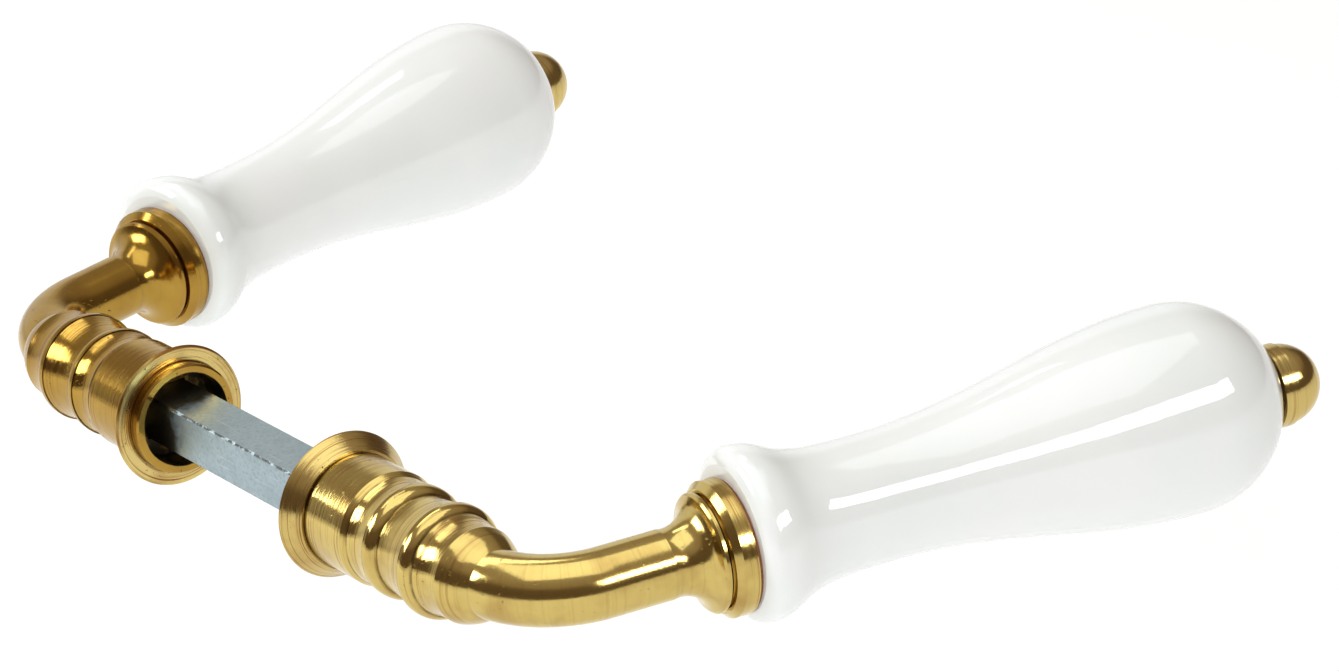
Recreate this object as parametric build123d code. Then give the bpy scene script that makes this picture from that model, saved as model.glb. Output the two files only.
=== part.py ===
# Pair of door lever handles: brass necks and elbows with white porcelain grips,
# joined by one square spindle that runs through the door.
# Units are millimetres. The spindle lies along Y with its middle at the origin,
# both levers point along +X and +Z is up.
import os
from math import acos, cos, degrees, radians, sin, sqrt, tan

from build123d import *

os.makedirs("parts", exist_ok=True)

# Layout
ring_gap = 46.4
splay = 12.0

# Square spindle
spindle_width = 8.0
spindle_corner = 0.35
spindle_tip = 0.8
spindle_reach = 25.0

# Running and fitting clearances
running_clear = 0.05
seat_clear = 0.02
socket_clear = 0.06

# Neck: plain journal, cove, two turned beads, foot and domed shoulder
neck_radius = 9.0
neck_proud = 2.05
neck_chamfer = 0.3
neck_length = 12.7
mouth_wall = 1.35
mouth_depth = 6.0
socket_spare = 6.0
step_drop = 0.5
step_run = 1.1
cove_length = 4.65
cove_sag = 0.3
bead_drop = 0.1
bead_crest = 0.4
bead_quirk = 0.15
bead_slope = 2.0
bead_sag = 0.3
waist_depth = 1.0
land_length = 6.7
land_sag = 0.25
foot_depth = 0.95
foot_length = 5.1
foot_sag = 0.25
shoulder_depth = 1.45
dome_length = 5.5
dome_sag = 0.35
dome_inset = 0.9

# Elbow, stem and trumpet
bend_lead = 0.95
bend_radius = 15.0
stem_radius = 5.3
stem_length = 9.25
flare_length = 5.8
flare_sag = 1.35
rim_radius = 9.08
rim_step = 0.33
rim_length = 1.2
rim_round = 0.35

# Bearing ring that stays with the door while the neck turns in it
ring_width = 2.55
ring_length = 3.3
ring_back_width = 0.45
ring_edge = 0.25
clip_section = 0.9
clip_bite = 0.45
clip_at = 1.6
clip_opening = 40.0

# Grub screw under the neck
screw_radius = 2.5
screw_sunk = 0.5
screw_key = 2.5
screw_key_depth = 2.0
screw_point = 0.6

# Ferrule between the trumpet and the grip
ferrule_overhang = 1.27
ferrule_length = 3.6
ferrule_chamfer = 1.0
ferrule_relief = 0.68
rim_gap = 0.3
spigot_wall = 3.15
spigot_length = 1.6

# Tie rod, sleeve and soft washers
rod_radius = 3.0
rod_depth = 11.0
rod_into_finial = 5.5
rod_chamfer = 0.5
sleeve_wall = 1.0
washer_thickness = 0.5
rear_washer_inset = 0.35
front_washer_inset = 1.2

# Porcelain grip, measured from its ferrule end
grip_rise = 1.0
grip_overhang = 0.75
lip_rise = 2.3
lip_at = 2.7
lip_fall = 1.8
lip_fall_at = 8.3
grip_waist_radius = 9.8
grip_waist_at = 23.5
belly_radius = 16.25
belly_at = 74.6
tip_flat_radius = 5.6

# Finial nut
finial_overhang = 0.9
finial_collar = 2.5
finial_step = 0.25
finial_bore_spare = 1.0


# Radii that follow from one another
mouth_radius = neck_radius - mouth_wall
bead_radius = neck_radius - bead_drop
waist_radius = bead_radius - waist_depth
foot_radius = bead_radius - foot_depth
shoulder_radius = bead_radius - shoulder_depth
dome_end_radius = stem_radius - dome_inset
ring_radius = neck_radius + ring_width
flare_radius = rim_radius - rim_step
ferrule_radius = rim_radius + ferrule_overhang
spigot_radius = rod_radius + spigot_wall
sleeve_radius = rod_radius + running_clear + sleeve_wall
grip_start_radius = ferrule_radius + grip_overhang
lip_radius = grip_start_radius + lip_rise
finial_radius = tip_flat_radius + finial_overhang

# Stations along the neck, from the middle of the spindle outwards
ring_face = ring_gap / 2
neck_end = ring_face - neck_proud
screw_at = ring_face + (ring_length + neck_length) / 2
spindle_end = ring_face + spindle_reach
socket_end = spindle_end + socket_spare
journal_end = ring_face + neck_length
crest_1 = journal_end + step_run + cove_length
corner_1 = crest_1 + bead_crest + bead_slope
crest_2 = corner_1 + land_length
corner_2 = crest_2 + bead_crest + bead_slope
shoulder = corner_2 + foot_length
bend_start = shoulder + bend_lead

# The stem leaves the neck axis at the elbow corner
turn = 90.0 - splay
bend_tangent = bend_radius * tan(radians(turn / 2))
elbow = bend_start + bend_tangent
stem_way = Vector(cos(radians(splay)), sin(radians(splay)), 0)

# Stations along the stem, from the elbow corner
flare_start = bend_tangent + stem_length
rim_start = flare_start + flare_length
trumpet_end = rim_start + rim_length
ferrule_end = trumpet_end + ferrule_length
grip_start = ferrule_end + washer_thickness
tip_turn = degrees(acos(tip_flat_radius / belly_radius))
tip_length = belly_radius * sin(radians(tip_turn))
grip_end = grip_start + belly_at + tip_length
finial_start = grip_end + washer_thickness


def turned(outline):
    """Solid turned about Y from an outline whose X is the radius."""
    return revolve(make_face(outline), Axis.Y)


def stem_piece(piece):
    """Move a piece turned about Y from the elbow corner onto the stem axis."""
    return Pos(0, elbow, 0) * Rot(0, 0, -turn) * piece


def tube(inner, outer, start, end):
    """Plain ring or sleeve about Y."""
    return turned(Polyline((inner, start), (outer, start), (outer, end), (inner, end), close=True))


def rod(radius, start, end, chamfer_size):
    """Round bar about Y with both ends chamfered."""
    return turned(
        Polyline(
            (0, start),
            (radius - chamfer_size, start),
            (radius, start + chamfer_size),
            (radius, end - chamfer_size),
            (radius - chamfer_size, end),
            (0, end),
            close=True,
        )
    )


def square_bar(width, start, end):
    """Square bar along Y."""
    return Pos(0, (start + end) / 2, 0) * Box(width, end - start, width)


def neck_solid():
    """Journal, cove, two beads, foot and the dome that runs into the elbow."""
    step = (neck_radius - step_drop, journal_end + step_run)
    cove_end = (bead_radius - bead_quirk, crest_1)
    bead_1 = (bead_radius, crest_1)
    bead_1_top = (bead_radius, crest_1 + bead_crest)
    waist = (waist_radius, corner_1)
    land_end = (bead_radius - bead_quirk, crest_2)
    bead_2 = (bead_radius, crest_2)
    bead_2_top = (bead_radius, crest_2 + bead_crest)
    foot = (foot_radius, corner_2)
    shoulder_edge = (shoulder_radius, shoulder)
    dome_end = (dome_end_radius, shoulder + dome_length)
    profile = [
        Polyline(
            (0, neck_end),
            (neck_radius - neck_chamfer, neck_end),
            (neck_radius, neck_end + neck_chamfer),
            (neck_radius, journal_end),
            step,
        ),
        SagittaArc(step, cove_end, cove_sag),
        Polyline(cove_end, bead_1, bead_1_top),
        SagittaArc(bead_1_top, waist, -bead_sag),
        SagittaArc(waist, land_end, land_sag),
        Polyline(land_end, bead_2, bead_2_top),
        SagittaArc(bead_2_top, foot, -bead_sag),
        SagittaArc(foot, shoulder_edge, foot_sag),
        SagittaArc(shoulder_edge, dome_end, -dome_sag),
        Polyline(dome_end, (0, shoulder + dome_length), (0, neck_end)),
    ]
    return turned(profile)


def bend_solid():
    """Quarter bend from the neck axis round to the stem axis."""
    path = TangentArc(
        (0, bend_start, 0), Vector(0, elbow, 0) + stem_way * bend_tangent, tangent=(0, 1, 0)
    )
    return sweep(Plane(origin=path @ 0, z_dir=path % 0) * Circle(stem_radius), path=path)


def stem_solid():
    """Straight stem with the trumpet that carries the ferrule."""
    flare_foot = (stem_radius, flare_start)
    flare_top = (flare_radius, rim_start)
    profile = [
        Polyline((0, trumpet_end), (0, bend_tangent), (stem_radius, bend_tangent), flare_foot),
        SagittaArc(flare_foot, flare_top, flare_sag),
        Polyline(
            flare_top,
            (rim_radius, rim_start + rim_round),
            (rim_radius, trumpet_end - rim_round),
            (rim_radius - rim_round, trumpet_end),
            (0, trumpet_end),
        ),
    ]
    return stem_piece(turned(profile))


def lever_casting(up):
    """Neck, elbow and trumpet in one casting, with its sockets and tapped holes."""
    body = neck_solid() + bend_solid() + stem_solid()
    mouth = tube(0, mouth_radius, neck_end, neck_end + mouth_depth)
    socket = square_bar(spindle_width + 2 * socket_clear, neck_end, socket_end)
    clip_groove = tube(
        neck_radius - clip_bite - running_clear,
        neck_radius + clip_section,
        ring_face + clip_at - clip_section / 2 - running_clear,
        ring_face + clip_at + clip_section / 2 + running_clear,
    )
    screw_hole = Pos(0, screw_at, -up * neck_radius / 2) * Cylinder(
        screw_radius + running_clear, neck_radius
    )
    rod_hole = tube(
        0, rod_radius + seat_clear, trumpet_end - spigot_length - rod_depth - seat_clear, trumpet_end
    )
    spigot_seat = tube(
        0, spigot_radius + seat_clear, trumpet_end - spigot_length - seat_clear, trumpet_end
    )
    return body - mouth - socket - clip_groove - screw_hole - stem_piece(rod_hole + spigot_seat)


def bearing_ring():
    """Conical ring round the neck, grooved inside for the retaining clip."""
    bore = neck_radius + running_clear
    ring = turned(
        Polyline(
            (bore, ring_face),
            (ring_radius - ring_edge, ring_face),
            (ring_radius, ring_face + ring_edge),
            (neck_radius + ring_back_width, ring_face + ring_length),
            (bore, ring_face + ring_length),
            close=True,
        )
    )
    groove = tube(
        neck_radius,
        neck_radius + clip_section - clip_bite + seat_clear,
        ring_face + clip_at - clip_section / 2 - seat_clear,
        ring_face + clip_at + clip_section / 2 + seat_clear,
    )
    return ring - groove


def retaining_clip():
    """Split spring ring that keeps the bearing ring on the neck."""
    inner = neck_radius - clip_bite
    outer = inner + clip_section
    start = ring_face + clip_at - clip_section / 2
    section = make_face(
        Polyline(
            (inner, start),
            (outer, start),
            (outer, start + clip_section),
            (inner, start + clip_section),
            close=True,
        )
    )
    return Rot(0, clip_opening / 2, 0) * revolve(section, Axis.Y, 360 - clip_opening)


def grub_screw(up):
    """Socket screw that bears on the underside of the spindle."""
    top = spindle_width / 2 + seat_clear
    length = neck_radius - screw_sunk - top
    screw = turned(
        Polyline(
            (0, 0),
            (screw_radius - screw_point, 0),
            (screw_radius, screw_point),
            (screw_radius, length),
            (0, length),
            close=True,
        )
    )
    key = extrude(
        Plane(origin=(0, length, 0), z_dir=(0, -1, 0)) * RegularPolygon(screw_key / sqrt(3), 6),
        screw_key_depth,
    )
    return Pos(0, screw_at, -up * top) * Rot(-up * 90, 0, 0) * (screw - key)


def ferrule():
    """Chamfered collar with a spigot that centres it in the trumpet."""
    face = trumpet_end + rim_gap
    land = rim_radius - ferrule_relief
    bore = rod_radius + running_clear
    return stem_piece(
        turned(
            Polyline(
                (bore, trumpet_end - spigot_length),
                (spigot_radius, trumpet_end - spigot_length),
                (spigot_radius, trumpet_end),
                (land, trumpet_end),
                (land, face),
                (ferrule_radius - ferrule_chamfer, face),
                (ferrule_radius, face + ferrule_chamfer),
                (ferrule_radius, ferrule_end),
                (bore, ferrule_end),
                close=True,
            )
        )
    )


def grip(up):
    """Porcelain grip, set a little above the stem axis and bored on that axis."""
    start = (grip_start_radius, grip_start)
    lip = (lip_radius, grip_start + lip_at)
    fall = (lip_radius - lip_fall, grip_start + lip_fall_at)
    waist = (grip_waist_radius, grip_start + grip_waist_at)
    belly = (belly_radius, grip_start + belly_at)
    tip = (tip_flat_radius, grip_end)
    along = (0, 1)
    profile = [
        Polyline((0, grip_end), (0, grip_start), start),
        Spline(start, lip, tangents=[(1, 0.35), along]),
        Spline(lip, fall, waist, tangents=[along, along]),
        Spline(waist, belly, tangents=[along, along]),
        CenterArc((0, grip_start + belly_at), belly_radius, 0, tip_turn),
        Line(tip, (0, grip_end)),
    ]
    bore = tube(0, sleeve_radius + running_clear, grip_start, grip_end)
    return stem_piece(Pos(0, 0, up * grip_rise) * turned(profile) - bore)


def grip_sleeve():
    """Sleeve that centres the grip on the tie rod."""
    return stem_piece(tube(rod_radius + running_clear, sleeve_radius, grip_start, grip_end))


def tie_rod():
    """Rod screwed into the trumpet, running through the grip into the finial."""
    start = trumpet_end - spigot_length - rod_depth
    return stem_piece(rod(rod_radius, start, finial_start + rod_into_finial, rod_chamfer))


def rear_washer():
    """Soft washer between the ferrule and the grip."""
    outer = ferrule_radius - rear_washer_inset
    return stem_piece(tube(rod_radius + running_clear, outer, ferrule_end, grip_start))


def front_washer():
    """Soft washer between the grip and the finial."""
    outer = tip_flat_radius - front_washer_inset
    return stem_piece(tube(rod_radius + running_clear, outer, grip_end, finial_start))


def finial():
    """Domed nut on the end of the tie rod."""
    head_radius = finial_radius - finial_step
    head_start = finial_start + finial_collar
    bore = rod_radius + running_clear
    bore_end = finial_start + rod_into_finial + finial_bore_spare
    profile = [
        Polyline(
            (0, bore_end),
            (bore, bore_end),
            (bore, finial_start),
            (finial_radius, finial_start),
            (finial_radius, head_start),
            (head_radius, head_start),
        ),
        CenterArc((0, head_start), head_radius, 0, 90),
        Line((0, head_start + head_radius), (0, bore_end)),
    ]
    return stem_piece(turned(profile))


def spindle():
    """Square bar through the door with eased corners and ends."""
    bar = square_bar(spindle_width, -spindle_end, spindle_end)
    eased_corners = chamfer(bar.edges().filter_by(Axis.Y), spindle_corner)
    eased_ends = chamfer(bar.faces().filter_by(Axis.Y).edges(), spindle_tip)
    return eased_corners & eased_ends


def lever_pieces(up):
    """Every piece of one lever on the +Y side of the door, with up as the sign of its top."""
    return {
        "lever_casting": lever_casting(up),
        "bearing_ring": bearing_ring(),
        "retaining_clip": retaining_clip(),
        "grub_screw": grub_screw(up),
        "ferrule": ferrule(),
        "rear_washer": rear_washer(),
        "grip": grip(up),
        "grip_sleeve": grip_sleeve(),
        "tie_rod": tie_rod(),
        "front_washer": front_washer(),
        "finial": finial(),
    }


# The near lever is built upside down and rolled half a turn about X to the other side
for name, piece in lever_pieces(1).items():
    export_step(piece, f"parts/far_{name}.step")
for name, piece in lever_pieces(-1).items():
    export_step(Rot(180, 0, 0) * piece, f"parts/near_{name}.step")
export_step(spindle(), "parts/spindle.step")
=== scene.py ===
import math

import bmesh
import bpy
from mathutils import Matrix, Vector


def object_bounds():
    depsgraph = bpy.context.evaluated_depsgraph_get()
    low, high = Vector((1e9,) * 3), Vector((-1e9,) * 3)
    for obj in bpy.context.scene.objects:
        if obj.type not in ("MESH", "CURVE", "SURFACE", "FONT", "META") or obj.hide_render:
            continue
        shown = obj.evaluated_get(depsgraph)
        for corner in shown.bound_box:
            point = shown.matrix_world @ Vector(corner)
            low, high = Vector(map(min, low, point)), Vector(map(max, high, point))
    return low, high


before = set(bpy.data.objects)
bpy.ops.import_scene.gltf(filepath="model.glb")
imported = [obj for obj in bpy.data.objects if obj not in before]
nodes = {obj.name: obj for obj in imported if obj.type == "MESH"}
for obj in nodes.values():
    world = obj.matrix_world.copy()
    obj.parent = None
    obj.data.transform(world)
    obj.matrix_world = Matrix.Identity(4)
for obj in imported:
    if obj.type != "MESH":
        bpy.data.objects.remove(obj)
cad_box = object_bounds()

# Photograph's frame and the camera that matches it, in pixels, degrees and metres
PHOTO_WIDTH = 1339
FOCAL_PIXELS = 4787.8
VIEW_AZIMUTH = -35.07
VIEW_ELEVATION = 23.81
VIEW_ROLL = -5.59
VIEW_DISTANCE = 0.7373
AIM_RIGHT = 0.0632
AIM_UP = 0.01887
SENSOR_WIDTH = 36.0
CLIP_START = 0.01
CLIP_END = 20.0

# Line of a lever from the spindle round the elbow, in metres and radians
SPLAY = math.radians(12.0)
BEND_TURN = math.pi / 2 - SPLAY
BEND_RADIUS = 0.0150
BEND_START = 0.0592
BEND_TANGENT = BEND_RADIUS * math.tan(BEND_TURN / 2)
ELBOW = BEND_START + BEND_TANGENT
SIDES = {"near": -1, "far": 1}

# In the materials, a grain is a noise's cycles a metre, detail and roughness. A ramp is where
# a smooth step starts and ends, and its values there. A pattern is a grain and a ramp over it.

# Brass: colour, haze and pits of each lever, the paler colour of its ring and finial, and stains;
# the dark of pits and of grease also paints shade
METALS = {
    "near": ((0.62, 0.48, 0.175), 0.045, 0.35),
    # The far lever is the same brass as the near one: its darker colour is painted shade
    "far": ((0.45, 0.29, 0.065), 0.075, 0.8),
}
# The far ring and finial are painted lighter than the near ones: a painted highlight
PALE_METALS = {"near": (0.61, 0.47, 0.185), "far": (0.68, 0.54, 0.225)}
TARNISH = (0.30, 0.15, 0.04)
# Dark of pits and grime, also used as painted shade at the ring's foot and in its bore
PIT_AND_SHADE = (0.03, 0.017, 0.009)
# Near black of the mouth: painted shade with grease
MOUTH_SHADE_AND_GREASE = (0.05, 0.043, 0.03)

# Brass: lathe marks, and the haze and pits that a ring or a turned piece has
CAST_MARKS = 1.35
RING_HAZE, RING_MARKS, RING_PITS = 0.03, 2.4, 0.9
TURNED_HAZE, TURNED_MARKS, TURNED_PITS = 0.04, 1.1, 0.15

# Brass: grain of the lathe marks, and the bend where they fade into the stem's haze
LATHE_DRIFT = 0.02
LATHE_FINE = (1900, 3.0, 0.7)
LATHE_COARSE = (900, 2.0, 0.5)
STREAK_RAMP = (0.50, 0.70, 0.0, 0.45)
STEM_FROM, STEM_TO = -0.002, 0.004
STEM_MARKS = 0.2
STEM_HAZE = 0.07

# Brass: clouds of tarnish, fine grain, and pits in clusters
CLOUD_GRAIN = (120, 3.0, 0.55)
STAIN_RAMP = (0.42, 0.72, 0.0, 0.36)
FINE_GRAIN = (2600, 2.0, 0.6)
PIT_CLUSTERS = ((160, 1.0), (0.50, 0.62))
PIT_HOLES = ((1500, 2.0, 0.6), (0.66, 0.72))

# Brass: share of each in the roughness and the relief, and how deep the relief is
MARK_ROUGH_RAMP = (0.35, 0.7, 0.0, 0.10)
CLOUD_ROUGH_RAMP = (0.3, 0.7)
CLOUD_ROUGH = 0.04
PIT_ROUGH = 0.35
MARK_RELIEF = 1.1
GRAIN_RELIEF = 0.35
LATHE_DEPTH = 0.000018
PIT_DEPTH = 0.00006

# Brass: painted shade at the ring's foot and in the ring's bore, and grime in the neck's corners
NECK_REACH = 0.012
RING_FOOT = 0.0265
FOOT_RAMP = (0.0002, 0.0006, 0.5, 0.0)
CORNERS = (0.0370, 0.0416, 0.04405, 0.0507, 0.05315)
CORNER_RAMP = (0.0, 0.00026, 1.0, 0.0)
CORNER_PATCHES = ((420, 2.0), (0.30, 0.65, 0.35, 1.0))
CORNER_GRIME = 0.6
BORE_RAMP = (0.0091, 0.0093, 0.35, 0.0)

# Brass: painted shade with grease smears inside the neck's mouth
MOUTH_RADIUS = 0.00775
MOUTH_FLOOR = 0.0275
MOUTH_SMEARS = ((350, 3.0, 0.6), (0.44, 0.60, 1.0, 0.3))
MOUTH_ROUGH = 0.3

# Porcelain: glaze, specks, and the slow waves and fine peel of its surface
GLAZE = (0.85, 0.865, 0.865)
GLAZE_COOL = (0.82, 0.85, 0.845)
GLAZE_CLOUDS = ((45, 2.0), (0.35, 0.65))
GLAZE_ROUGH = ((300, 3.0), (0.3, 0.7, 0.035, 0.075))
SPECKS = ((1900, 1.0), (0.80, 0.83))
SPECK_CLUSTERS = ((210, 1.0), (0.60, 0.66))
SPECK_STRENGTH = 0.5
WAVE_GRAIN = (110, 1.0)
PEEL_GRAIN = (700, 1.0)
PEEL_RELIEF = 0.08
GLAZE_DEPTH = 0.00006
GLAZE_IOR = 1.52
COAT_WEIGHT = 0.3
COAT_ROUGH = 0.02

# Plated bar: zinc with a drawn grain, flecks, dull clouds and scratches
ZINC = (0.42, 0.50, 0.53)
ZINC_DULL = (0.31, 0.385, 0.41)
ZINC_BRIGHT = (0.72, 0.77, 0.78)
DRAWN_OUT = 0.03
DRAWN_GRAIN = (5200, 3.0, 0.6)
FLECK_GRAIN = (1700, 2.0, 0.6)
FLECK_RAMP = (0.50, 0.70, 0.0, 0.65)
DULL_GRAIN = (260, 3.0, 0.6)
DULL_RAMP = (0.40, 0.66, 0.0, 0.40)
SCRATCHES = ((2300, 1.0), (0.70, 0.74))
SCRATCH_STRENGTH = 0.3
ZINC_ROUGH_RAMP = (0.3, 0.7, 0.34, 0.52)
DRAWN_RELIEF = 0.7
ZINC_DEPTH = 0.000006

# Plated bar: a darker line near its edges, and where old grease starts and ends along it
EDGE_RAMP = (0.0035, 0.0038)
EDGE_DARK_LINE = ((520, 4.0, 0.75), (0.40, 0.52, 0.0, 0.85))
OLD_GREASE = (0.15, 0.12, 0.062)
GREASE_FROM, GREASE_TO = 0.0165, 0.0192
GREASE_WANDER = 0.010
GREASE_COVER = 0.9

# Dark steels: colour, and least and most roughness; then their oxide skin
SPRING_STEEL = ((0.30, 0.30, 0.32), 0.25, 0.4)
BLACK_STEEL = ((0.035, 0.035, 0.04), 0.35, 0.55)
SKIN_WEAR = ((900, 4.0, 0.6), (0.45, 0.7))
WORN_GAIN, WORN_LIFT = 2.2, 0.05
SKIN_ROUGH_GRAIN = (2500, 2.0)
SKIN_GRAIN = (3500, 2.0)
SKIN_DEPTH = 0.000005

# Fibre washers
FIBRE_DARK = (0.20, 0.075, 0.04)
FIBRE_PALE = (0.34, 0.15, 0.085)
FIBRE_ROUGH = (0.6, 0.85)
FELT_GRAIN = (2200, 4.0, 0.7)
FELT_DEPTH = 0.00003

# Part of a noise's range that holds most of its values
NOISE_SPAN = (0.3, 0.7)

# Floor: reach of the joints above it, room below a pressed lever's tip, and its white
LEVER_TURN = math.radians(45.0)
FINIAL_TRAVEL = 0.005
FLOOR_SPARE = 0.007
FLOOR_REACH = 4.0
FLOOR = (0.62, 0.62, 0.62)
FLOOR_GLOW = (0.97, 0.99, 1.0)
FLOOR_GLOW_STRENGTH = 0.43
MATT = 0.9

# Surround that only the camera sees
BACKDROP_RADIUS = 7.0
BACKDROP_AROUND, BACKDROP_UP = 48, 24
BACKDROP = (0.74, 0.735, 0.73)
BLACK = (0.0, 0.0, 0.0)

# Colours of the room by height, round the object and on the pale wall behind it
ROOM = (
    (0.0, (0.17, 0.125, 0.095)),
    (0.42, (0.21, 0.16, 0.12)),
    (0.58, (0.43, 0.36, 0.30)),
    (0.80, (0.52, 0.46, 0.41)),
    (1.0, (0.64, 0.63, 0.62)),
)
WALL = (
    (0.0, (0.85, 0.85, 0.85)),
    (0.08, (0.95, 0.95, 0.95)),
    (0.42, (0.95, 0.95, 0.95)),
    (0.55, (0.42, 0.36, 0.30)),
    (1.0, (0.64, 0.63, 0.62)),
)
WALL_AZIMUTH = math.radians(170.0)
WALL_RAMP = (0.55, 0.85)

# Colour of the softboxes, the near grip that one of them draws a long highlight on, and contrast
LIGHT = (0.94, 0.985, 1.0)
GRIP_MIDDLE = Vector((0.075, -0.087, 0.0))
CONTRAST = 0.88


def linked(tree, socket, value):
    """Feed a socket with another socket or a plain value."""
    if isinstance(value, bpy.types.NodeSocket):
        tree.links.new(value, socket)
    else:
        socket.default_value = value


def calc(tree, operation, *values):
    """One Math node."""
    made = tree.nodes.new("ShaderNodeMath")
    made.operation = operation
    for socket, value in zip(made.inputs, values):
        linked(tree, socket, value)
    return made.outputs[0]


def product(tree, first, *others):
    """First value times each of the others."""
    for other in others:
        first = calc(tree, "MULTIPLY", first, other)
    return first


def hypotenuse(tree, first, second):
    """Long side over two short sides."""
    squares = [calc(tree, "POWER", side, 2) for side in (first, second)]
    return calc(tree, "SQRT", calc(tree, "ADD", *squares))


def apart(tree, value, station):
    """Distance of a value from a station."""
    return calc(tree, "ABSOLUTE", calc(tree, "SUBTRACT", value, station))


def blend_range(tree, value, start, end, low=0.0, high=1.0):
    """Smooth step from low to high as a value goes from start to end."""
    made = tree.nodes.new("ShaderNodeMapRange")
    made.interpolation_type = "SMOOTHSTEP"
    for socket, number in zip(made.inputs, (value, start, end, low, high)):
        linked(tree, socket, number)
    return made.outputs[0]


def mixed(tree, factor, first, second):
    """Mix of two colours, each a socket or three numbers."""
    made = tree.nodes.new("ShaderNodeMix")
    made.data_type = "RGBA"
    linked(tree, made.inputs["Factor"], factor)
    colour_sockets = [s for s in made.inputs if s.type == "RGBA"]
    for socket, colour in zip(colour_sockets, (first, second)):
        fixed = not isinstance(colour, bpy.types.NodeSocket)
        linked(tree, socket, (*colour, 1.0) if fixed else colour)
    return next(s for s in made.outputs if s.type == "RGBA")


def noise(tree, vector, scale, detail=2.0, roughness=0.5):
    """Noise between 0 and 1 at so many cycles a metre."""
    made = tree.nodes.new("ShaderNodeTexNoise")
    made.inputs["Scale"].default_value = scale
    made.inputs["Detail"].default_value = detail
    made.inputs["Roughness"].default_value = roughness
    tree.links.new(vector, made.inputs["Vector"])
    return made.outputs[0]


def pattern(tree, vector, grain, ramp):
    """Noise of one grain under one ramp."""
    return blend_range(tree, noise(tree, vector, *grain), *ramp)


def packed(tree, x, y, z):
    """Vector from three numbers."""
    made = tree.nodes.new("ShaderNodeCombineXYZ")
    for socket, value in zip(made.inputs, (x, y, z)):
        linked(tree, socket, value)
    return made.outputs[0]


def bump(tree, height, depth, under=None):
    """Bump of a real depth in metres."""
    made = tree.nodes.new("ShaderNodeBump")
    made.inputs["Strength"].default_value = 1.0
    made.inputs["Distance"].default_value = depth
    tree.links.new(height, made.inputs["Height"])
    if under is not None:
        tree.links.new(under, made.inputs["Normal"])
    return made.outputs[0]


def new_material(name, metallic=0.0):
    """Node material, its tree, its shader and its place in the CAD frame."""
    material = bpy.data.materials.new(name)
    material.use_nodes = True
    tree = material.node_tree
    shader = tree.nodes["Principled BSDF"]
    shader.inputs["Metallic"].default_value = metallic
    coords = tree.nodes.new("ShaderNodeTexCoord").outputs["Object"]
    split = tree.nodes.new("ShaderNodeSeparateXYZ")
    tree.links.new(coords, split.inputs[0])
    return material, tree, shader, coords, split.outputs


def wire(tree, shader, tone, rough, normal):
    """Give the shader its colour, roughness and relief."""
    tree.links.new(tone, shader.inputs["Base Color"])
    tree.links.new(rough, shader.inputs["Roughness"])
    tree.links.new(normal, shader.inputs["Normal"])


def neck_line(tree, place, side):
    """Way out along the neck and distance from its axis."""
    out = calc(tree, "MULTIPLY", place[1], side)
    return out, hypotenuse(tree, place[0], place[2])


def stem_line(tree, place, side):
    """Way along the stem from the elbow corner and distance from its axis."""
    out = calc(tree, "MULTIPLY_ADD", place[1], side, -ELBOW)
    ahead = [calc(tree, "MULTIPLY", place[0], turn(SPLAY)) for turn in (math.cos, math.sin)]
    aside = [calc(tree, "MULTIPLY", out, turn(SPLAY)) for turn in (math.sin, math.cos)]
    along = calc(tree, "ADD", ahead[0], aside[0])
    across = calc(tree, "SUBTRACT", aside[1], ahead[1])
    return along, hypotenuse(tree, across, place[2])


def lever_line(tree, place, side):
    """Way along the casting from the bend's start, way out along the neck and distance from it."""
    out, radius = neck_line(tree, place, side)
    past = calc(tree, "SUBTRACT", out, BEND_START)
    angle = calc(tree, "ARCTAN2", past, calc(tree, "SUBTRACT", BEND_RADIUS, place[0]))
    turned = calc(tree, "MINIMUM", calc(tree, "MAXIMUM", angle, 0.0), BEND_TURN)
    along_stem, _ = stem_line(tree, place, side)
    stem = calc(tree, "MAXIMUM", calc(tree, "SUBTRACT", along_stem, BEND_TANGENT), 0.0)
    neck = calc(tree, "MINIMUM", past, 0.0)
    along = calc(tree, "ADD", calc(tree, "MULTIPLY_ADD", turned, BEND_RADIUS, neck), stem)
    return along, out, radius


def neck_shade_and_grime(tree, coords, place, out, radius, tone, rough):
    """Painted shade round the ring's foot, grime in the neck's corners, and painted shade with
    grease smears inside its mouth.
    """
    on_neck = calc(tree, "LESS_THAN", place[0], NECK_REACH)
    # Painted shade: a dark line in the gap where the ring meets the neck
    foot = blend_range(tree, apart(tree, out, RING_FOOT), *FOOT_RAMP)
    tone = mixed(tree, product(tree, foot, on_neck), tone, PIT_AND_SHADE)
    patches = pattern(tree, coords, *CORNER_PATCHES)
    for station in CORNERS:
        corner = blend_range(tree, apart(tree, out, station), *CORNER_RAMP)
        tone = mixed(tree, product(tree, corner, on_neck, patches, CORNER_GRIME), tone, PIT_AND_SHADE)
    # Painted shade with grease smears: the inside of the mouth is painted near black, with brass
    # showing in smears
    inside = calc(tree, "LESS_THAN", radius, MOUTH_RADIUS)
    inside = product(tree, inside, calc(tree, "LESS_THAN", out, MOUTH_FLOOR))
    smears = pattern(tree, coords, *MOUTH_SMEARS)
    tone = mixed(tree, product(tree, inside, smears), tone, MOUTH_SHADE_AND_GREASE)
    return tone, calc(tree, "MULTIPLY_ADD", inside, MOUTH_ROUGH, rough)


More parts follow.
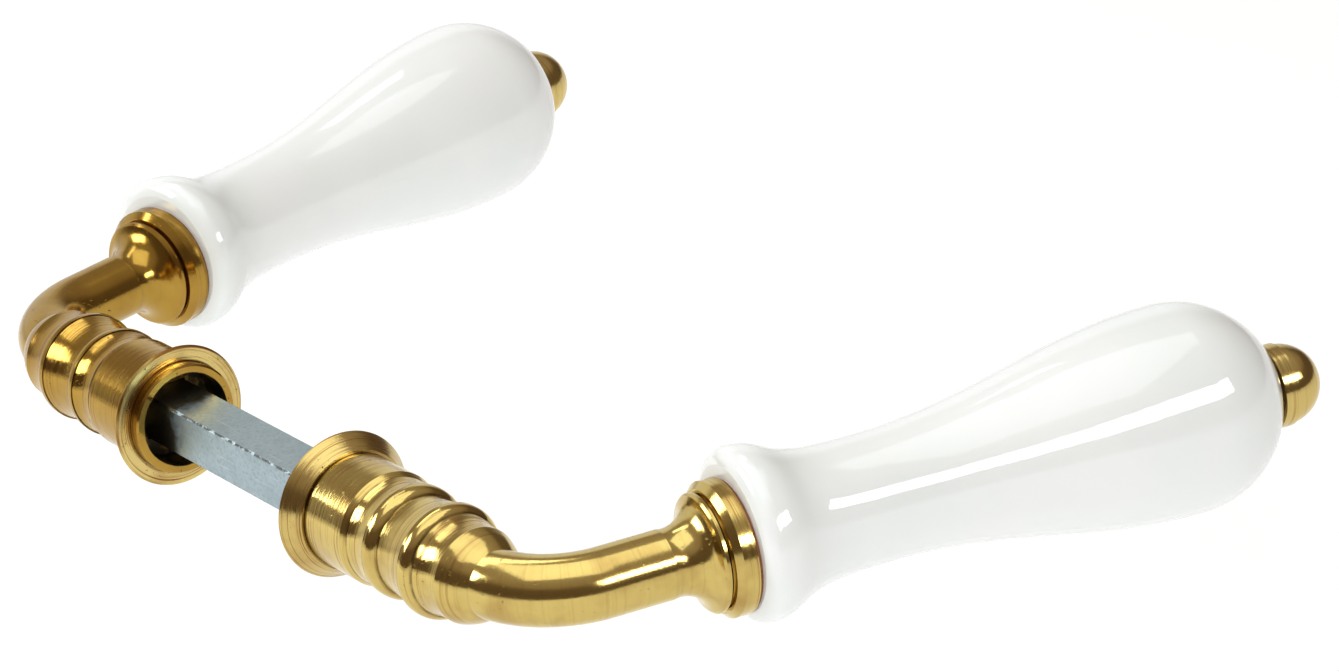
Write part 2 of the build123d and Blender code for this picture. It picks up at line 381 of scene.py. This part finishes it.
def brass(lever, kind, colour, haze, marks, pits):
    """Cast, ring, turned or finial brass: lathe marks round its own axis, tarnish and pits."""
    material, tree, shader, coords, place = new_material(f"{lever}_{kind}_brass", metallic=1.0)
    if kind == "cast":
        along, out, radius = lever_line(tree, place, SIDES[lever])
        marks = blend_range(tree, along, STEM_FROM, STEM_TO, marks, marks * STEM_MARKS)
        haze = blend_range(tree, along, STEM_FROM, STEM_TO, haze, haze + STEM_HAZE)
    else:
        line = neck_line if kind == "ring" else stem_line
        out, radius = line(tree, place, SIDES[lever])
        along = calc(tree, "SUBTRACT", out, radius)
    drift = [calc(tree, "MULTIPLY", place[axis], LATHE_DRIFT) for axis in (0, 2)]
    lines = packed(tree, along, *drift)
    fine = noise(tree, lines, *LATHE_FINE)
    coarse = noise(tree, lines, *LATHE_COARSE)
    grain = noise(tree, coords, *FINE_GRAIN)
    cloud = noise(tree, coords, *CLOUD_GRAIN)

    # Tarnish in clouds and along the lathe marks, and pits in clusters
    stain = blend_range(tree, cloud, *STAIN_RAMP)
    streak = product(tree, blend_range(tree, fine, *STREAK_RAMP), marks)
    tone = mixed(tree, calc(tree, "ADD", stain, streak), colour, TARNISH)
    cluster = pattern(tree, coords, *PIT_CLUSTERS)
    pit = product(tree, pattern(tree, coords, *PIT_HOLES), cluster, pits)
    tone = mixed(tree, pit, tone, PIT_AND_SHADE)

    # Roughness and relief
    rough = calc(tree, "MULTIPLY_ADD", blend_range(tree, fine, *MARK_ROUGH_RAMP), marks, haze)
    dull = blend_range(tree, cloud, *CLOUD_ROUGH_RAMP)
    rough = calc(tree, "MULTIPLY_ADD", dull, CLOUD_ROUGH, rough)
    rough = calc(tree, "MULTIPLY_ADD", pit, PIT_ROUGH, rough)
    cut = product(tree, calc(tree, "ADD", coarse, fine), marks)
    relief = calc(tree, "MULTIPLY_ADD", cut, MARK_RELIEF, product(tree, grain, GRAIN_RELIEF))
    normal = bump(tree, relief, LATHE_DEPTH)
    normal = bump(tree, calc(tree, "SUBTRACT", 1.0, pit), PIT_DEPTH, normal)

    if kind == "cast":
        tone, rough = neck_shade_and_grime(tree, coords, place, out, radius, tone, rough)
    elif kind == "ring":
        # Painted shade: the ring's bore is painted darker
        tone = mixed(tree, blend_range(tree, radius, *BORE_RAMP), tone, PIT_AND_SHADE)
    wire(tree, shader, tone, rough, normal)
    return material


def porcelain():
    """White glaze over a thrown body: slow waves, a cool cast and a few specks."""
    material, tree, shader, coords, _ = new_material("porcelain_glaze")
    tone = mixed(tree, pattern(tree, coords, *GLAZE_CLOUDS), GLAZE, GLAZE_COOL)
    cluster = pattern(tree, coords, *SPECK_CLUSTERS)
    speck = product(tree, pattern(tree, coords, *SPECKS), cluster, SPECK_STRENGTH)
    tone = mixed(tree, speck, tone, TARNISH)
    rough = pattern(tree, coords, *GLAZE_ROUGH)
    waves = noise(tree, coords, *WAVE_GRAIN)
    peel = noise(tree, coords, *PEEL_GRAIN)
    height = calc(tree, "MULTIPLY_ADD", peel, PEEL_RELIEF, waves)
    wire(tree, shader, tone, rough, bump(tree, height, GLAZE_DEPTH))
    shader.inputs["IOR"].default_value = GLAZE_IOR
    shader.inputs["Coat Weight"].default_value = COAT_WEIGHT
    shader.inputs["Coat Roughness"].default_value = COAT_ROUGH
    return material


def plated_steel():
    """Drawn square bar under zinc plating: grain along Y, dull clouds and scratches."""
    material, tree, shader, coords, place = new_material("zinc_plated_bar", metallic=1.0)
    drawn = packed(tree, place[0], calc(tree, "MULTIPLY", place[1], DRAWN_OUT), place[2])
    grain = noise(tree, drawn, *DRAWN_GRAIN)
    fleck = noise(tree, coords, *FLECK_GRAIN)
    cloud = noise(tree, coords, *DULL_GRAIN)
    dull = blend_range(tree, cloud, *DULL_RAMP)
    dull = calc(tree, "MAXIMUM", dull, blend_range(tree, fleck, *FLECK_RAMP))
    tone = mixed(tree, dull, ZINC, ZINC_DULL)
    scratch = product(tree, pattern(tree, drawn, *SCRATCHES), SCRATCH_STRENGTH)
    tone = mixed(tree, scratch, tone, ZINC_BRIGHT)

    # A darker dashed line along the edges, and old grease where the bar enters the necks
    off_axis = [calc(tree, "ABSOLUTE", place[axis]) for axis in (0, 2)]
    edge = blend_range(tree, calc(tree, "MINIMUM", *off_axis), *EDGE_RAMP)
    tone = mixed(tree, product(tree, edge, pattern(tree, coords, *EDGE_DARK_LINE)), tone, PIT_AND_SHADE)
    reach = calc(tree, "ABSOLUTE", place[1])
    reach = calc(tree, "MULTIPLY_ADD", cloud, GREASE_WANDER, reach)
    start, end = (limit + GREASE_WANDER / 2 for limit in (GREASE_FROM, GREASE_TO))
    tone = mixed(tree, blend_range(tree, reach, start, end, 0.0, GREASE_COVER), tone, OLD_GREASE)

    rough = blend_range(tree, fleck, *ZINC_ROUGH_RAMP)
    height = calc(tree, "MULTIPLY_ADD", grain, DRAWN_RELIEF, fleck)
    wire(tree, shader, tone, rough, bump(tree, height, ZINC_DEPTH))
    return material


def dark_steel(name, colour, low_rough, high_rough):
    """Blackened or spring steel with a worn, slightly patchy oxide skin."""
    material, tree, shader, coords, _ = new_material(name, metallic=1.0)
    worn = tuple(min(1.0, c * WORN_GAIN + WORN_LIFT) for c in colour)
    tone = mixed(tree, pattern(tree, coords, *SKIN_WEAR), colour, worn)
    rough = pattern(tree, coords, SKIN_ROUGH_GRAIN, (*NOISE_SPAN, low_rough, high_rough))
    height = noise(tree, coords, *SKIN_GRAIN)
    wire(tree, shader, tone, rough, bump(tree, height, SKIN_DEPTH))
    return material


def fibre():
    """Red-brown vulcanised fibre with a short felted grain."""
    material, tree, shader, coords, _ = new_material("vulcanised_fibre")
    felt = noise(tree, coords, *FELT_GRAIN)
    tone = mixed(tree, blend_range(tree, felt, *NOISE_SPAN), FIBRE_DARK, FIBRE_PALE)
    rough = blend_range(tree, felt, *NOISE_SPAN, *FIBRE_ROUGH)
    wire(tree, shader, tone, rough, bump(tree, felt, FELT_DEPTH))
    return material


def dress():
    """Give every CAD node its material."""
    shared = {
        "grip": porcelain(),
        "tie_rod": plated_steel(),
        "retaining_clip": dark_steel("spring_steel", *SPRING_STEEL),
        "grub_screw": dark_steel("black_steel", *BLACK_STEEL),
        "rear_washer": fibre(),
    }
    shared["front_washer"] = shared["rear_washer"]
    looks = {"spindle": shared["tie_rod"]}
    for lever in SIDES:
        looks.update({f"{lever}_{piece}": material for piece, material in shared.items()})
        colour, haze, pits = METALS[lever]
        pale = PALE_METALS[lever]
        turned = (haze + TURNED_HAZE, TURNED_MARKS, TURNED_PITS)
        looks[f"{lever}_lever_casting"] = brass(lever, "cast", colour, haze, CAST_MARKS, pits)
        looks[f"{lever}_bearing_ring"] = brass(
            lever, "ring", pale, haze + RING_HAZE, RING_MARKS, RING_PITS
        )
        looks[f"{lever}_ferrule"] = brass(lever, "turned", colour, *turned)
        looks[f"{lever}_grip_sleeve"] = looks[f"{lever}_ferrule"]
        looks[f"{lever}_finial"] = brass(lever, "finial", pale, *turned)
    for name, made in nodes.items():
        made.data.materials.clear()
        made.data.materials.append(looks[name])


def camera():
    """Camera at the photograph's viewing angle."""
    a, e, roll = (math.radians(x) for x in (VIEW_AZIMUTH, VIEW_ELEVATION, VIEW_ROLL))
    ahead = Vector((-math.sin(a) * math.cos(e), math.cos(a) * math.cos(e), -math.sin(e)))
    level = Vector((math.cos(a), math.sin(a), 0))
    upright = level.cross(ahead)
    right = math.cos(roll) * level + math.sin(roll) * upright
    up = -math.sin(roll) * level + math.cos(roll) * upright
    place = AIM_RIGHT * right + AIM_UP * up - VIEW_DISTANCE * ahead
    data = bpy.data.cameras.new("camera")
    data.sensor_width = SENSOR_WIDTH
    data.lens = FOCAL_PIXELS * SENSOR_WIDTH / PHOTO_WIDTH
    data.clip_start = CLIP_START
    data.clip_end = CLIP_END
    made = bpy.data.objects.new("camera", data)
    turn = Matrix((right, up, -ahead)).transposed().to_4x4()
    made.matrix_world = Matrix.Translation(place) @ turn
    bpy.context.scene.collection.objects.link(made)
    bpy.context.scene.camera = made


def plain(name, tone, glow, strength):
    """Matt material with no gloss and a glow of its own."""
    material = bpy.data.materials.new(name)
    material.use_nodes = True
    sockets = material.node_tree.nodes["Principled BSDF"].inputs
    sockets["Base Color"].default_value = (*tone, 1)
    sockets["Roughness"].default_value = MATT
    sockets["Specular IOR Level"].default_value = 0.0
    sockets["Emission Color"].default_value = (*glow, 1)
    sockets["Emission Strength"].default_value = strength
    return material


def placed(name, mesh, material):
    """New object in the scene from a mesh and its material."""
    made = bpy.data.objects.new(name, mesh)
    bpy.context.scene.collection.objects.link(made)
    mesh.materials.append(material)
    return made


def floor():
    """Plain white floor, low enough to stay clear of a lever pressed to its limit."""
    tip = cad_box[1].x + FINIAL_TRAVEL
    low = -tip * math.sin(LEVER_TURN) - FLOOR_SPARE
    signs = ((-1, -1), (1, -1), (1, 1), (-1, 1))
    corners = [(x * FLOOR_REACH, y * FLOOR_REACH, low) for x, y in signs]
    mesh = bpy.data.meshes.new("floor")
    mesh.from_pydata(corners, [], [(0, 1, 2, 3)])
    made = placed("floor", mesh, plain("white_floor", FLOOR, FLOOR_GLOW, FLOOR_GLOW_STRENGTH))


def backdrop():
    """Pale surround that only the camera sees, so that a low view has a plain ground too."""
    mesh = bpy.data.meshes.new("backdrop")
    shell = bmesh.new()
    bmesh.ops.create_uvsphere(
        shell, u_segments=BACKDROP_AROUND, v_segments=BACKDROP_UP, radius=BACKDROP_RADIUS
    )
    shell.to_mesh(mesh)
    shell.free()
    made = placed("backdrop", mesh, plain("pale_backdrop", BLACK, BACKDROP, 1.0))
    made.visible_diffuse = False
    made.visible_glossy = False
    made.visible_transmission = False
    made.visible_shadow = False


def height_ramp(tree, height, stops):
    """Colour at each height, from stops between 0 and 1."""
    made = tree.nodes.new("ShaderNodeValToRGB")
    elements = made.color_ramp.elements
    for (at, colour), element in zip((stops[0], stops[-1]), list(elements)):
        element.position = at
        element.color = (*colour, 1)
    for at, colour in stops[1:-1]:
        elements.new(at).color = (*colour, 1)
    tree.links.new(height, made.inputs[0])
    return made.outputs[0]


def room():
    """Room that the brass mirrors: dark in front, with a pale wall behind."""
    world = bpy.data.worlds.new("studio")
    world.use_nodes = True
    tree = world.node_tree
    way = tree.nodes.new("ShaderNodeTexCoord").outputs["Generated"]
    split = tree.nodes.new("ShaderNodeSeparateXYZ")
    tree.links.new(way, split.inputs[0])
    x, y, height = split.outputs
    behind = calc(tree, "MULTIPLY", x, math.sin(WALL_AZIMUTH))
    behind = calc(tree, "MULTIPLY_ADD", y, -math.cos(WALL_AZIMUTH), behind)
    on_wall = blend_range(tree, behind, *WALL_RAMP)
    sides = [height_ramp(tree, height, stops) for stops in (ROOM, WALL)]
    tone = mixed(tree, on_wall, *sides)
    tree.links.new(tone, tree.nodes["Background"].inputs["Color"])
    bpy.context.scene.world = world


def softbox(name, aim, azimuth, elevation, distance, size, watts):
    """Area light at an angle from a point of the object, turned towards it."""
    data = bpy.data.lights.new(name, "AREA")
    data.shape = "RECTANGLE"
    data.size, data.size_y = size
    data.energy = watts
    data.color = LIGHT
    a, e = math.radians(azimuth), math.radians(elevation)
    way = Vector((math.sin(a) * math.cos(e), -math.cos(a) * math.cos(e), math.sin(e)))
    made = bpy.data.objects.new(name, data)
    made.location = aim + way * distance
    made.rotation_euler = (-way).to_track_quat("-Z", "Y").to_euler()
    bpy.context.scene.collection.objects.link(made)
    return made


def lights():
    """Softboxes: the strip makes highlights alone, and the fill none."""
    middle = (cad_box[0] + cad_box[1]) / 2
    softbox(
        "overhead", middle, azimuth=-35, elevation=86, distance=1.3, size=(1.35, 1.35), watts=6.6
    )
    softbox(
        "behind", middle, azimuth=180, elevation=54, distance=1.2, size=(0.90, 0.22), watts=1.5
    )
    softbox(
        "window", middle, azimuth=-128, elevation=29, distance=1.1, size=(0.50, 0.38), watts=4.2
    )
    strip = softbox(
        "strip", GRIP_MIDDLE, azimuth=13, elevation=29, distance=0.6, size=(0.48, 0.15), watts=2.0
    )
    strip.visible_diffuse = False
    fill = softbox(
        "fill", middle, azimuth=-35, elevation=26, distance=1.9, size=(0.9, 0.6), watts=13.5
    )
    fill.visible_glossy = False


def studio():
    """White floor, pale surround, the room and its lights, and plain tones with some contrast."""
    floor()
    backdrop()
    room()
    lights()
    bpy.context.scene.view_settings.view_transform = "Standard"
    bpy.context.scene.view_settings.gamma = CONTRAST


camera()
studio()
dress()
